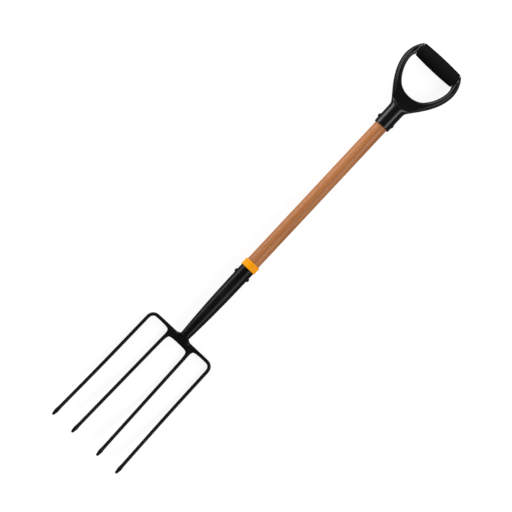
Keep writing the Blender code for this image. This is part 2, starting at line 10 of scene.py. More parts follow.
import logging
import math
from collections.abc import Callable, Sequence
from dataclasses import dataclass
from enum import Enum

import bmesh
import bpy
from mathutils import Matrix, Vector


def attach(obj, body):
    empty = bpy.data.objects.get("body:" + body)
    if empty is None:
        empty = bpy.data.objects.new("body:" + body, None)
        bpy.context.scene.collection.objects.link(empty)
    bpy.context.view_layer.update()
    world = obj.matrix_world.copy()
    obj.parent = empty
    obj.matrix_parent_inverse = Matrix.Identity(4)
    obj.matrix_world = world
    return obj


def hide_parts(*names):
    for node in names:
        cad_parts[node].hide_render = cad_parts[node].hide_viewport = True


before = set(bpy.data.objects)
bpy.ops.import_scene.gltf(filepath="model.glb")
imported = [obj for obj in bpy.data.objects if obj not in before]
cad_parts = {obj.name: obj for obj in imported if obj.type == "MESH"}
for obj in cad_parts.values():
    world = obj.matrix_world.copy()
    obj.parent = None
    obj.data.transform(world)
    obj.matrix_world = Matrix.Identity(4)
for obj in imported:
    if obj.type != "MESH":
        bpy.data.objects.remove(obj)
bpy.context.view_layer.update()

LOG = logging.getLogger("fork")
SHOULDER_X = -0.24025
AXIS_HEIGHT = 0.0180
SAME_PLACE = 1e-5
WELD_REACH = 1e-6
SMOOTHING = 3

Colour = tuple[float, float, float]
Stretch = tuple[float, float, float]
Spot = tuple[float, float]
Test = Callable[[Vector, Vector], bool]


class Pick(Enum):
    """The kinds of mesh element that can be picked."""

    CORNERS = "VERT"
    FACES = "FACE"


class Axis(Enum):
    """The two lines about which pieces are turned, each with the tilt that brings a hoop onto it."""

    HANDLE = ((1.0, 0.0, 0.0), (0.0, math.pi / 2, 0.0))
    ACROSS = ((0.0, 1.0, 0.0), (math.pi / 2, 0.0, 0.0))

    @property
    def direction(self) -> Vector:
        """Returns the axis as a unit vector."""
        return Vector(self.value[0])

    @property
    def tilt(self) -> tuple[float, float, float]:
        """Returns the rotation of a flat hoop whose middle line is this axis."""
        return self.value[1]


def mix(start: float, end: float, share: float) -> float:
    """Returns the value that lies at this share of the way from start to end."""
    return start + (end - start) * share


def ease(share: float) -> float:
    """Returns a share that leaves 0 and reaches 1 without a corner."""
    share = min(max(share, 0.0), 1.0)
    return share * share * (3.0 - 2.0 * share)


def same(first: float, second: float) -> bool:
    """Tells whether two lengths are the same but for rounding."""
    return abs(first - second) < SAME_PLACE


def at(station: float, across: float, height: float) -> Vector:
    """Returns the place at this station, this far across the fork and this far above the floor."""
    return Vector((SHOULDER_X + station, across, height))


def bezier(corners: Sequence[Spot | Vector], share: float) -> Vector:
    """Returns a place on a cubic curve in the plan.

    Args:
        corners: The curve's start, its two handles and its end, each a station and a distance across.
        share: How far along the curve, from 0 to 1.

    Returns:
        The station and the distance across.
    """
    start, first, second, end = (Vector(corner) for corner in corners)
    rest = 1.0 - share
    return rest**3 * start + 3 * rest**2 * share * first + 3 * rest * share**2 * second + share**3 * end


def quarter(centre: Spot, size: Spot, turns: Sequence[float]) -> list[Spot]:
    """Finds places on a quarter of an ellipse.

    Args:
        centre: The ellipse's centre.
        size: How far the ellipse reaches from it, at 0 and at 90 degrees.
        turns: The angles of the places, in degrees.

    Returns:
        The places, in the same order.
    """
    places = []
    for turn in turns:
        angle = math.radians(turn)
        places.append((centre[0] + size[0] * math.cos(angle), centre[1] + size[1] * math.sin(angle)))
    return places


def stack(edge: Spot | Vector, middle: Spot | Vector, half_depth: float) -> list[Vector]:
    """Finds a front, a middle and a back corner of a cut.

    Args:
        edge: The station and the distance across of the front and back corners.
        middle: The same for the middle corner, which is level with the handle's axis.
        half_depth: How far the front and back corners are above and below it.

    Returns:
        The three corners, front first.
    """
    front, back = AXIS_HEIGHT + half_depth, AXIS_HEIGHT - half_depth
    return [at(*edge, front), at(*middle, AXIS_HEIGHT), at(*edge, back)]


def fullness(corners: int) -> float:
    """Returns how much larger a ring of so many corners has to start, since smoothing draws it in."""
    return 3.0 / (2.0 + math.cos(2.0 * math.pi / corners))


class Workpiece:
    """A mesh on the bench. Its parts are picked by place and worked with edit-mode operators."""

    def __init__(self, name: str) -> None:
        """Takes up the object that an operator has just added, applies its transform and opens it for work.

        Args:
            name: The name of the piece.
        """
        bpy.ops.object.transform_apply(location=True, rotation=True, scale=True)
        self.obj = bpy.context.active_object
        self.obj.name = name
        self.obj.data.name = name
        bpy.ops.object.mode_set(mode="EDIT")
        bpy.ops.mesh.select_mode(type="VERT")

    @classmethod
    def block(cls, name: str, low: Vector, high: Vector) -> Workpiece:
        """Starts a piece from a rectangular block.

        Args:
            name: The name of the piece.
            low: The block's lowest corner.
            high: The block's highest corner.

        Returns:
            The piece, in edit mode.
        """
        bpy.ops.object.select_all(action="DESELECT")
        bpy.ops.mesh.primitive_cube_add(size=1.0, location=(low + high) / 2, scale=high - low)
        return cls(name)

    @classmethod
    def hoop(cls, name: str, centre: Vector, radius: float, sides: int, axis: Axis) -> Workpiece:
        """Starts a piece from an open hoop.

        Args:
            name: The name of the piece.
            centre: The middle of the hoop.
            radius: Its radius.
            sides: How many sides it has.
            axis: The line through its middle.

        Returns:
            The piece, in edit mode, with the hoop selected.
        """
        bpy.ops.object.select_all(action="DESELECT")
        bpy.ops.mesh.primitive_circle_add(
            vertices=sides, radius=radius, fill_type="NOTHING", location=centre, rotation=axis.tilt
        )
        piece = cls(name)
        bpy.ops.mesh.select_all(action="SELECT")
        return piece

    @classmethod
    def turned(
        cls,
        name: str,
        profile: Sequence[Spot],
        axis: Axis,
        sides: int,
        station: float = 0.0,
        hollow: bool = False,
    ) -> Workpiece:
        """Turns a whole piece about an axis.

        Args:
            name: The name of the piece.
            profile: Pairs of a place along the axis and a radius.
            axis: The line about which the piece is turned.
            sides: How many sides it has.
            station: Where along the handle the axis has its zero.
            hollow: Whether the profile comes back to its start, as a tube's does.

        Returns:
            The piece, in edit mode.
        """
        start, radius = profile[0]
        centre = at(station, 0.0, AXIS_HEIGHT) + axis.direction * start
        piece = cls.hoop(name, centre, radius, sides, axis)
        if not hollow:
            piece.cap()
            piece.pick(Pick.CORNERS, lambda place, normal: True)
        piece.turn([*profile, profile[0]] if hollow else profile, axis)
        if not hollow:
            piece.cap()
        piece.weld()
        return piece

    def pick(self, kind: Pick, test: Test) -> None:
        """Selects the corners or faces that pass a test, and nothing else.

        Args:
            kind: What to select.
            test: Takes the place and the normal of a corner, or of a face's middle.
        """
        bpy.ops.mesh.select_all(action="DESELECT")
        bpy.ops.mesh.select_mode(type=kind.value)
        mesh = bmesh.from_edit_mesh(self.obj.data)
        mesh.normal_update()
        if kind is Pick.FACES:
            for face in mesh.faces:
                if test(face.calc_center_median(), face.normal):
                    face.select_set(True)
        else:
            for corner in mesh.verts:
                if test(corner.co, corner.normal):
                    corner.select_set(True)
        mesh.select_flush_mode()
        bmesh.update_edit_mesh(self.obj.data)

    def pick_sharp_edges(self, angle: float, test: Callable[[Vector], bool]) -> None:
        """Selects the edges whose faces meet at more than an angle, where their middle passes a test.

        Args:
            angle: The least angle between the two faces' normals, in radians.
            test: Takes the place of an edge's middle.
        """
        bpy.ops.mesh.select_all(action="DESELECT")
        bpy.ops.mesh.select_mode(type="EDGE")
        mesh = bmesh.from_edit_mesh(self.obj.data)
        mesh.normal_update()
        for edge in mesh.edges:
            middle = (edge.verts[0].co + edge.verts[1].co) / 2
            if len(edge.link_faces) == 2 and edge.calc_face_angle() > angle and test(middle):
                edge.select_set(True)
        bmesh.update_edit_mesh(self.obj.data)

    def extrude(self, move: Vector) -> None:
        """Draws what is selected out by a move."""
        bpy.ops.mesh.extrude_region_move(TRANSFORM_OT_translate={"value": move})

    def move(self, by: Vector) -> None:
        """Moves what is selected."""
        bpy.ops.transform.translate(value=by)

    def scale(self, factors: Vector, centre: Vector) -> None:
        """Scales what is selected about a centre."""
        bpy.ops.transform.resize(value=factors, center_override=centre)

    def settle(self, old: Sequence[Vector], new: Sequence[Vector], among: set[int] | None = None) -> None:
        """Moves corners one by one to their new places.

        Args:
            old: Where the corners are.
            new: Where each of them goes.
            among: The numbers of the corners that may be moved, or None for all.
        """
        for before, after in zip(old, new, strict=True):
            bpy.ops.mesh.select_all(action="DESELECT")
            bpy.ops.mesh.select_mode(type="VERT")
            mesh = bmesh.from_edit_mesh(self.obj.data)
            for corner in mesh.verts:
                allowed = among is None or corner.index in among
                corner.select_set(allowed and (corner.co - before).length < SAME_PLACE)
            bmesh.update_edit_mesh(self.obj.data)
            self.move(after - before)

    def draw_out(self, old: Sequence[Vector], new: Sequence[Vector]) -> None:
        """Extrudes the selected faces and puts each of their corners in its new place.

        Args:
            old: Where the faces' corners are.
            new: Where each of them goes.
        """
        self.extrude(Vector((0.0, 0.0, 0.0)))
        mesh = bmesh.from_edit_mesh(self.obj.data)
        mesh.verts.index_update()
        mesh.faces.index_update()
        moved = {corner.index for corner in mesh.verts if corner.select}
        faces = {face.index for face in mesh.faces if face.select}
        self.settle(old, new, moved)
        bpy.ops.mesh.select_all(action="DESELECT")
        bpy.ops.mesh.select_mode(type="FACE")
        mesh = bmesh.from_edit_mesh(self.obj.data)
        for face in mesh.faces:
            if face.index in faces:
                face.select_set(True)
        bmesh.update_edit_mesh(self.obj.data)

    def turn(self, profile: Sequence[Spot], axis: Axis) -> None:
        """Draws the selected hoop out along an axis and sizes it at each step.

        Args:
            profile: Pairs of a place along the axis and a radius, of which the first is the hoop itself.
            axis: The line about which the piece is turned.
        """
        direction = axis.direction
        for (before, old_radius), (after, new_radius) in zip(profile, profile[1:]):
            self.extrude(direction * (after - before))
            factor = new_radius / old_radius
            factors = Vector((factor, factor, factor)) + direction * (1.0 - factor)
            mesh = bmesh.from_edit_mesh(self.obj.data)
            hoop = [corner.co for corner in mesh.verts if corner.select]
            self.scale(factors, sum(hoop, Vector()) / len(hoop))

    def cap(self) -> None:
        """Closes the selected hoop with one face."""
        bpy.ops.mesh.edge_face_add()

    def weld(self) -> None:
        """Merges corners that share a place, and turns the faces outwards."""
        bpy.ops.mesh.select_all(action="SELECT")
        bpy.ops.mesh.remove_doubles(threshold=WELD_REACH)
        bpy.ops.mesh.normals_make_consistent(inside=False)

    def mirror_across(self) -> None:
        """Opens the half piece along its middle plane and adds the other half."""
        self.pick(Pick.FACES, lambda place, normal: same(place.y, 0.0))
        bpy.ops.mesh.delete(type="FACE")
        self.apply("MIRROR", use_axis=(False, True, False), use_clip=True, merge_threshold=SAME_PLACE)
        self.weld()

    def apply(self, kind: str, **settings: object) -> None:
        """Adds a modifier and applies it.

        Args:
            kind: The modifier's type.
            settings: Its settings.
        """
        bpy.ops.object.mode_set(mode="OBJECT")
        modifier = self.obj.modifiers.new(kind.lower(), kind)
        for key, value in settings.items():
            setattr(modifier, key, value)
        bpy.ops.object.modifier_apply(modifier=modifier.name)
        bpy.ops.object.mode_set(mode="EDIT")

    def smooth_out(self) -> None:
        """Subdivides the whole piece into a smooth surface."""
        self.apply("SUBSURF", levels=SMOOTHING, render_levels=SMOOTHING)

    def hand_over(self, material: bpy.types.Material, slot: str, node: str, angle: float) -> None:
        """Ends the work: shades and dresses the piece and puts it in the place of a CAD node.

        Args:
            material: The piece's finish.
            slot: The record's material slot; not used.
            node: The CAD node that the piece stands for.
            angle: Edges sharper than this stay crisp, in radians.
        """
        bpy.ops.object.mode_set(mode="OBJECT")
        bpy.ops.object.shade_smooth_by_angle(angle=angle)
        self.obj.data.materials.append(material)
        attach(self.obj, "root")
        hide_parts(node)
        LOG.info("%s: %d faces", self.obj.name, len(self.obj.data.polygons))


class Signal:
    """A value that flows through a material. Arithmetic on it adds Math nodes."""

    def __init__(self, recipe: Recipe, socket: bpy.types.NodeSocket) -> None:
        """Keeps the socket, and the recipe that it belongs to."""
        self.recipe = recipe
        self.socket = socket

    def math(self, operation: str, *others: Signal | float) -> Signal:
        """Returns this value put through a Math node with the others."""
        inputs = dict(enumerate((self, *others)))
        return self.recipe.node("ShaderNodeMath", {"operation": operation}, inputs)

    def __add__(self, other: Signal | float) -> Signal:
        """Returns the sum."""
        return self.math("ADD", other)

    def __radd__(self, other: float) -> Signal:
        """Returns the sum, with the number first."""
        return self.math("ADD", other)

    def __sub__(self, other: Signal | float) -> Signal:
        """Returns the difference."""
        return self.math("SUBTRACT", other)

    def __rsub__(self, other: float) -> Signal:
        """Returns the difference, with the number first."""
        return (self * -1.0).math("ADD", other)

    def __mul__(self, other: Signal | float) -> Signal:
        """Returns the product."""
        return self.math("MULTIPLY", other)

    def __truediv__(self, other: Signal | float) -> Signal:
        """Returns the quotient."""
        return self.math("DIVIDE", other)

    def __pow__(self, other: Signal | float) -> Signal:
        """Returns the power."""
        return self.math("POWER", other)

    def over(self, low: float, high: float) -> Signal:
        """Returns 0 below low, 1 above high, and a soft rise between them."""
        inputs = {"Value": self, "From Min": low, "From Max": high}
        return self.recipe.node("ShaderNodeMapRange", {"interpolation_type": "SMOOTHSTEP"}, inputs)


class Recipe:
    """A material under construction, with one method that adds any node."""

    def __init__(self, name: str) -> None:
        """Starts a material with its Principled shader.

        Args:
            name: The material's name.
        """
        self.material = bpy.data.materials.new(name)
        self.material.use_nodes = True
        self.tree = self.material.node_tree
        self.shader = self.tree.nodes["Principled BSDF"]

    def node(
        self,
        kind: str,
        settings: dict[str, object] | None = None,
        inputs: dict[str | int, object] | None = None,
        output: str | int = 0,
    ) -> Signal:
        """Adds a node, sets it up and feeds it.

        Args:
            kind: The node's type.
            settings: Its own settings, set first. The key "stops" fills a ramp with places and colours.
            inputs: Values or signals for its sockets, by name or number.
            output: The socket to return.

        Returns:
            The chosen output.
        """
        node = self.tree.nodes.new(kind)
        for key, value in (settings or {}).items():
            if key == "stops":
                while len(node.color_ramp.elements) < len(value):
                    node.color_ramp.elements.new(0.5)
                for element, (place, colour) in zip(node.color_ramp.elements, value):
                    element.position = place
                    element.color = (*colour, 1.0)
            else:
                setattr(node, key, value)
        for key, value in (inputs or {}).items():
            self.feed(node.inputs[key], value)
        return Signal(self, node.outputs[output])

    def feed(self, socket: bpy.types.NodeSocket, value: object) -> None:
        """Links a signal to a socket, or sets the socket's own value.

        Args:
            socket: The socket to feed.
            value: The signal, or a plain value.
        """
        if isinstance(value, Signal):
            self.tree.links.new(value.socket, socket)
        else:
            socket.default_value = value

    def place(self, scale: Stretch = (1.0, 1.0, 1.0)) -> Signal:
        """Returns the place on the piece, stretched by these factors."""
        spot = self.node("ShaderNodeTexCoord", output="Object")
        return self.node("ShaderNodeMapping", {"vector_type": "POINT"}, {"Vector": spot, "Scale": scale})

    def part(self, vector: Signal, axis: str) -> Signal:
        """Returns one part, X, Y or Z, of a vector."""
        return self.node("ShaderNodeSeparateXYZ", None, {"Vector": vector}, axis)

    def noise(self, vector: Signal, scale: float, detail: float, roughness: float = 0.5) -> Signal:
        """Returns soft random values between about 0 and 1.

        Args:
            vector: The place to read.
            scale: How many features there are to a unit of it.
            detail: How many finer layers are added.
            roughness: How strong the finer layers are.

        Returns:
            The noise.
        """
        inputs = {"Vector": vector, "Scale": scale, "Detail": detail, "Roughness": roughness}
        return self.node("ShaderNodeTexNoise", None, inputs, "Fac")

    def blend(self, share: Signal, first: object, second: object) -> Signal:
        """Returns a colour between two, by a share.

        Args:
            share: How much of the second colour there is.
            first: The colour at 0, a signal or four numbers.
            second: The colour at 1.

        Returns:
            The mixed colour.
        """
        return self.node("ShaderNodeMix", {"data_type": "RGBA"}, {0: share, 6: first, 7: second}, 2)

    def bump(self, height: Signal, depth: float) -> Signal:
        """Returns a normal bent by a height, of which 1 stands this deep above 0, in metres."""
        return self.node("ShaderNodeBump", None, {"Height": height, "Distance": depth}, "Normal")

    def finish(self, **sockets: object) -> bpy.types.Material:
        """Feeds the shader's sockets and ends the work.

        Args:
            sockets: A value or signal for each socket, named with _ for a space.

        Returns:
            The material.
        """
        for key, value in sockets.items():
            name = key.replace("_", " ").title().replace("Ior", "IOR")
            self.feed(self.shader.inputs[name], value)
        return self.material


def shade(colour: Colour) -> tuple[float, float, float, float]:
    """Returns a colour with full opacity."""
    return (*colour, 1.0)


@dataclass(frozen=True)
class StainedAsh:
    """Orange-brown stained and varnished ash, whose grain runs along the handle."""

    light: Colour = (0.428, 0.167, 0.053)
    middle: Colour = (0.358, 0.128, 0.036)
    dark: Colour = (0.25, 0.080, 0.019)
    pore: Colour = (0.16, 0.040, 0.010)
    ring_spacing: float = 0.0034
    ring_waver: float = 0.0045
    heart_across: float = 0.044
    heart_height: float = -0.024
    heart_lean: float = 0.010
    drift_scale: Stretch = (3.0, 25.0, 25.0)
    fibre_scale: Stretch = (9.0, 1100.0, 1100.0)
    streak_scale: Stretch = (2.2, 190.0, 190.0)
    cloud_scale: Stretch = (6.0, 40.0, 40.0)
    pore_scale: Stretch = (75.0, 2600.0, 2600.0)
    pore_strength: float = 0.70
    pore_depth: float = 0.00010
    gloss: float = 0.40
    shine: float = 0.34

    def make(self) -> bpy.types.Material:
        """Mixes growth rings about a heart beside the shaft, fibres, pores and varnish.

        Returns:
            The material.
        """
        recipe = Recipe("stained_ash")
        spot = recipe.place()
        drift = recipe.noise(recipe.place(self.drift_scale), 1.0, 2.0)
        across = recipe.part(spot, "Y") - self.heart_across
        height = recipe.part(spot, "Z") - self.heart_height
        lean = recipe.part(spot, "X") * self.heart_lean
        reach = (across * across + height * height) ** 0.5 + lean + drift * self.ring_waver
        phase = reach / self.ring_spacing
        ring = phase.math("FRACT")
        fibres = recipe.noise(recipe.place(self.fibre_scale), 1.0, 3.0, 0.6)
        streaks = recipe.noise(recipe.place(self.streak_scale), 1.0, 3.0, 0.55)
        clouds = recipe.noise(recipe.place(self.cloud_scale), 1.0, 2.0)
        late = ring.over(0.25, 0.95) * (1.0 - ring.over(0.95, 1.0))
        tone = late * 0.28 + fibres * 0.46 + streaks * 0.46 + clouds * 0.30
        stops = ((0.45, self.light), (0.74, self.middle), (1.0, self.dark))
        base = recipe.node("ShaderNodeValToRGB", {"stops": stops}, {"Fac": tone}, "Color")
        pores = recipe.noise(recipe.place(self.pore_scale), 1.0, 1.0).over(0.57, 0.68)
        pores = pores * (1.0 - ring.over(0.20, 0.60))
        colour = recipe.blend(pores * self.pore_strength, base, shade(self.pore))
        gloss = self.gloss + fibres * 0.12 + pores * 0.15
        bump = recipe.bump(fibres * 0.35 - pores, self.pore_depth)
        return recipe.finish(base_color=colour, roughness=gloss, normal=bump, specular_ior_level=self.shine)


@dataclass(frozen=True)
class BlackPaint:
    """Satin black paint on steel, with a fine skin, faint cloudiness and a few rubbed specks."""

    name: str
    tone: Colour = (0.0036, 0.0036, 0.0038)
    gloss: float = 0.34
    scuff: Colour = (0.012, 0.0118, 0.0115)
    shine: float = 0.13
    skin_depth: float = 0.00012
    skin_to_metre: float = 900.0
    dents_to_metre: float = 120.0
    clouds_to_metre: float = 22.0
    rub_scale: Stretch = (60.0, 420.0, 420.0)

    def make(self) -> bpy.types.Material:
        """Mixes the paint's tones, gloss and unevenness.

        Returns:
            The material.
        """
        recipe = Recipe(self.name)
        skin = recipe.noise(recipe.place(), self.skin_to_metre, 2.0, 0.45)
        dents = recipe.noise(recipe.place(), self.dents_to_metre, 2.0)
        clouds = recipe.noise(recipe.place(), self.clouds_to_metre, 3.0, 0.55)
        rubs = recipe.noise(recipe.place(self.rub_scale), 1.0, 3.0, 0.65).over(0.66, 0.74)
        grey = recipe.blend(clouds.over(0.40, 0.75) * 0.35, shade(self.tone), shade(self.scuff))
        colour = recipe.blend(rubs * 0.35, grey, shade(self.scuff))
        gloss = self.gloss + clouds * 0.10 + skin * 0.05 + rubs * 0.10 - 0.06
        bump = recipe.bump(skin * 0.35 + dents * 0.65, self.skin_depth)
        return recipe.finish(base_color=colour, roughness=gloss, normal=bump, specular_ior_level=self.shine)


@dataclass(frozen=True)
class MouldedPlastic:
    """Moulded plastic with a fine spark-etched skin and, if wanted, a parting line halfway up."""

    name: str
    tone: Colour
    bloom: Colour
    gloss: float
    shine: float = 0.27
    skin_depth: float = 0.00005
    skin_to_metre: float = 1600.0
    flow_scale: Stretch = (14.0, 30.0, 30.0)
    parting_line: bool = False
    line_depth: float = 0.00015
    line_core: float = 0.00010
    line_edge: float = 0.00035

    def make(self) -> bpy.types.Material:
        """Mixes the plastic's tones, gloss, skin and parting line.

        Returns:
            The material.
        """
        recipe = Recipe(self.name)
        skin = recipe.noise(recipe.place(), self.skin_to_metre, 2.0, 0.5)
        flow = recipe.noise(recipe.place(self.flow_scale), 1.0, 3.0, 0.55)
        colour = recipe.blend(flow.over(0.35, 0.80) * 0.40, shade(self.tone), shade(self.bloom))
        gloss = self.gloss + flow * 0.10 + skin * 0.06 - 0.08
        height = skin * 0.5
        depth = self.skin_depth
        if self.parting_line:
            off = (recipe.part(recipe.place(), "Z") - AXIS_HEIGHT).math("ABSOLUTE")
            height = height * 0.25 + (1.0 - off.over(self.line_core, self.line_edge))
            depth = self.line_depth
        normal = recipe.bump(height, depth)
        return recipe.finish(base_color=colour, roughness=gloss, normal=normal, specular_ior_level=self.shine)


@dataclass(frozen=True)
class SoftRubber:
    """Matt soft-touch rubber with a fine pebbled skin."""

    tone: Colour = (0.0018, 0.0018, 0.0019)
    dust: Colour = (0.0044, 0.0043, 0.0042)
    pebbles_to_metre: float = 1050.0
    pebble_depth: float = 0.00009
    dust_to_metre: float = 70.0
    gloss: float = 0.66
    shine: float = 0.09

    def make(self) -> bpy.types.Material:
        """Mixes the rubber's tones, gloss and pebbles.

        Returns:
            The material.
        """
        recipe = Recipe("sleeve_rubber")
        inputs = {"Vector": recipe.place(), "Scale": self.pebbles_to_metre}
        cells = recipe.node("ShaderNodeTexVoronoi", {"feature": "SMOOTH_F1"}, inputs, "Distance")
        pebbles = 1.0 - cells.over(0.15, 0.70)
        dust = recipe.noise(recipe.place(), self.dust_to_metre, 4.0, 0.65)
        colour = recipe.blend(dust.over(0.45, 0.85) * 0.40, shade(self.tone), shade(self.dust))
        gloss = self.gloss + dust * 0.16 - pebbles * 0.06
        normal = recipe.bump(pebbles, self.pebble_depth)
        return recipe.finish(base_color=colour, roughness=gloss, normal=normal, specular_ior_level=self.shine)


@dataclass(frozen=True)
class StudioFloor:
    """Plain pale paper, evenly lit from below."""

    tone: Colour = (0.15, 0.15, 0.15)
    glow: Colour = (0.88, 0.88, 0.88)
    roughness: float = 0.9

    def make(self) -> bpy.types.Material:
        """Returns the material."""
        return Recipe("studio_floor").finish(
            base_color=shade(self.tone),
            roughness=self.roughness,
            emission_color=shade(self.glow),
            emission_strength=1.0,
        )


@dataclass
class ForkHead:
    """The forging: crossbar, four tines, web, hub, neck and tang."""

    tine_reach: float = 0.2937
    tine_width: float = 0.0075
    root_depth: float = 0.0110
    tip_depth: float = 0.0062
    swell_width: float = 0.0090
    swell_length: float = 0.022
    point_length: float = 0.012
    point_width: float = 0.0042
    point_depth: float = 0.0026
    splay: float = math.radians(1.0)
    curve_radius: float = 1.15
    low_point: float = 0.040
    outer_offset: float = 0.0821
    outer_bow: float = 0.0006
    inner_offset: float = 0.02945
    bar_thickness: float = 0.0074
    bar_depth: float = 0.0118
    corner_radius: float = 0.014
    corner_cuts: int = 6
    past_corner: float = 0.008
    past_web: float = 0.0115
    web_reach: float = 0.0171
    web_depth: float = 0.0080
    hub_inner: float = 0.0085
    hub_outer: float = 0.0160
    fillet_end: float = 0.0447
    edge_rounding: float = 0.0019
    sharp_angle: float = math.radians(52)
    bolster_start: float = 0.0047
    bolster_end: float = 0.0060
    bolster_radius: float = 0.0108
    neck_radius: float = 0.0092
    neck_start: float = 0.0070
    neck_end: float = 0.0283
    tang_start: float = 0.0303
    tang_end: float = 0.1459
    tang_root: float = 0.0112
    tang_tip: float = 0.0056

    @property
    def bar_height(self) -> float:
        """Returns the height of the crossbar's middle."""
        return self.low_point**2 / (2 * self.curve_radius) + self.root_depth / 2

    @property
    def bar_faces(self) -> tuple[float, float]:
        """Returns the heights of the crossbar's front and back."""
        return self.bar_height + self.bar_depth / 2, self.bar_height - self.bar_depth / 2

    @property
    def tine_length(self) -> float:
        """Returns a tine's length below the crossbar's middle."""
        return self.tine_reach - self.bar_thickness / 2

    def tine_gate(self, offset: float, bow: float, below: float) -> list[Vector]:
        """Returns the four corners of a cut through a tine.

        Args:
            offset: How far across the tine starts.
            bow: How far its middle bows inwards.
            below: The cut's distance below the crossbar's middle.

        Returns:
            The corners, front first.
        """
        length = self.tine_length
        to_tip = length - below
        share = math.sin(math.pi / 2 * min(to_tip / self.point_length, 1.0)) ** 0.8
        depth = mix(self.root_depth, self.tip_depth, min(below / (length - self.point_length), 1.0))
        depth = mix(self.point_depth, depth, share)
        width = self.tine_width
        if to_tip < self.swell_length:
            rise = (to_tip - self.point_length) / (self.swell_length - self.point_length)
            width = mix(self.swell_width, self.tine_width, ease(rise))
        width = mix(self.point_width, width, share)
        across = offset + below * math.tan(self.splay) - bow * math.sin(math.pi * below / length) ** 2
        height = (below - self.low_point) ** 2 / (2 * self.curve_radius) + depth / 2
        slope = (below - self.low_point) / self.curve_radius
        along = Vector((-1.0, math.tan(self.splay), slope)).normalized()
        centre = at(-self.bar_thickness / 2 - below, across, height)
        return self.gate(centre, along, width, depth)

    def gate(self, centre: Vector, along: Vector, width: float, depth: float) -> list[Vector]:
        """Returns the corners of a rectangular cut.

        Args:
            centre: Its middle.
            along: The way that the bar runs there.
            width: Its size across the bar.
            depth: Its size from front to back.

        Returns:
            Outer front, inner front, inner back and outer back.
        """
        side = Vector((0.0, 0.0, 1.0)).cross(along).normalized() * width / 2
        front = along.cross(side).normalized() * depth / 2
        return [centre - side + front, centre + side + front, centre + side - front, centre - side - front]

    def tine_stops(self, first: float) -> list[float]:
        """Returns how far below the crossbar the cuts through a tine are, closer together at its end.

        Args:
            first: The first cut's distance.

        Returns:
            The distances.
        """
        swell = self.tine_length - self.swell_length
        point = self.tine_length - self.point_length
        stops = [mix(first, swell, index / 8) for index in range(9)]
        stops += [mix(swell, point, index / 3) for index in range(1, 4)]
        return stops + [mix(point, self.tine_length, share) for share in (0.35, 0.65, 0.88, 1.0)]

    def draw_frame(self, piece: Workpiece, columns: Sequence[float]) -> None:
        """Draws half the crossbar and an outer tine out of the middle block.

        Args:
            piece: The head, of which only the middle block is there.
            columns: How far across each cut through the crossbar is.
        """
        top, bottom = self.bar_faces
        piece.pick(Pick.FACES, lambda place, normal: normal.y > 0.9)
        for before, after in zip(columns, columns[1:]):
            piece.extrude(Vector((0.0, after - before, 0.0)))
        edge = columns[-1]
        thickness = self.bar_thickness
        round_end = ((0.0, top), (-thickness, top), (-thickness, bottom), (0.0, bottom))
        old = [at(station, edge, height) for station, height in round_end]
        radius = self.corner_radius
        bend = math.pi / 2 - self.splay
        first = self.tine_gate(self.outer_offset, self.outer_bow, radius)
        depth = (first[0] - first[3]).length
        height = sum(corner.z for corner in first) / 4
        for index in range(1, self.corner_cuts + 1):
            turn = bend * index / self.corner_cuts
            share = ease(index / self.corner_cuts)
            centre = at(
                -thickness / 2 - radius * (1 - math.cos(turn)),
                edge + radius * math.sin(turn),
                mix(self.bar_height, height, share),
            )
            along = Vector((-math.sin(turn), math.cos(turn), 0.0))
            width = mix(thickness, self.tine_width, share)
            new = self.gate(centre, along, width, mix(self.bar_depth, depth, share))
            piece.draw_out(old, new)
            old = new
        for below in self.tine_stops(radius + self.past_corner):
            new = self.tine_gate(self.outer_offset, self.outer_bow, below)
            piece.draw_out(old, new)
            old = new

    def draw_web(self, piece: Workpiece, columns: Sequence[float]) -> None:
        """Draws the web and an inner tine down from the crossbar, then rounds the corners between them.

        Args:
            piece: The head, with its crossbar.
            columns: How far across each cut through the crossbar is.
        """
        inner, outer = columns[2], columns[3]
        middle = at(0.0, 0.0, self.bar_height)
        bar_edge = SHOULDER_X - self.bar_thickness
        web_edge = SHOULDER_X - self.web_reach

        def lower_face(place: Vector, normal: Vector, x: float, start: float) -> bool:
            """Tells whether a face at this length looks towards the tips, from start to the inner tine."""
            return normal.x < -0.9 and start < place.y < outer and same(place.x, x)

        piece.pick(Pick.FACES, lambda place, normal: lower_face(place, normal, bar_edge, 0.0))
        piece.extrude(Vector((web_edge - bar_edge, 0.0, 0.0)))
        first_below = self.web_reach - self.bar_thickness / 2
        first = self.tine_gate(self.inner_offset, 0.0, first_below)
        tine_depth = (first[0] - first[3]).length
        limit = inner - SAME_PLACE
        piece.pick(Pick.CORNERS, lambda place, normal: same(place.x, web_edge) and place.y < limit)
        piece.scale(Vector((1.0, 1.0, self.web_depth / self.bar_depth)), middle)
        piece.pick(Pick.CORNERS, lambda place, normal: same(place.x, web_edge) and place.y > limit)
        piece.scale(Vector((1.0, 1.0, tine_depth / self.bar_depth)), middle)
        centre = at(-self.web_reach, self.inner_offset, self.bar_height)
        old = self.gate(centre, Vector((-1.0, 0.0, 0.0)), self.tine_width, tine_depth)
        piece.pick(Pick.FACES, lambda place, normal: lower_face(place, normal, web_edge, inner))
        for below in self.tine_stops(first_below + self.past_web):
            new = self.tine_gate(self.inner_offset, 0.0, below)
            piece.draw_out(old, new)
            old = new
        for x, across, by in (
            (bar_edge, outer, (-0.0020, 0.0017)),
            (web_edge, inner, (-0.0018, -0.0020)),
            (web_edge, columns[1], (-0.0004, 0.0)),
        ):

            def on_edge(place: Vector, normal: Vector, x: float = x, across: float = across) -> bool:
                """Tells whether a corner is at this length and this far across."""
                return same(place.x, x) and same(place.y, across)

            piece.pick(Pick.CORNERS, on_edge)
            piece.move(Vector((*by, 0.0)))

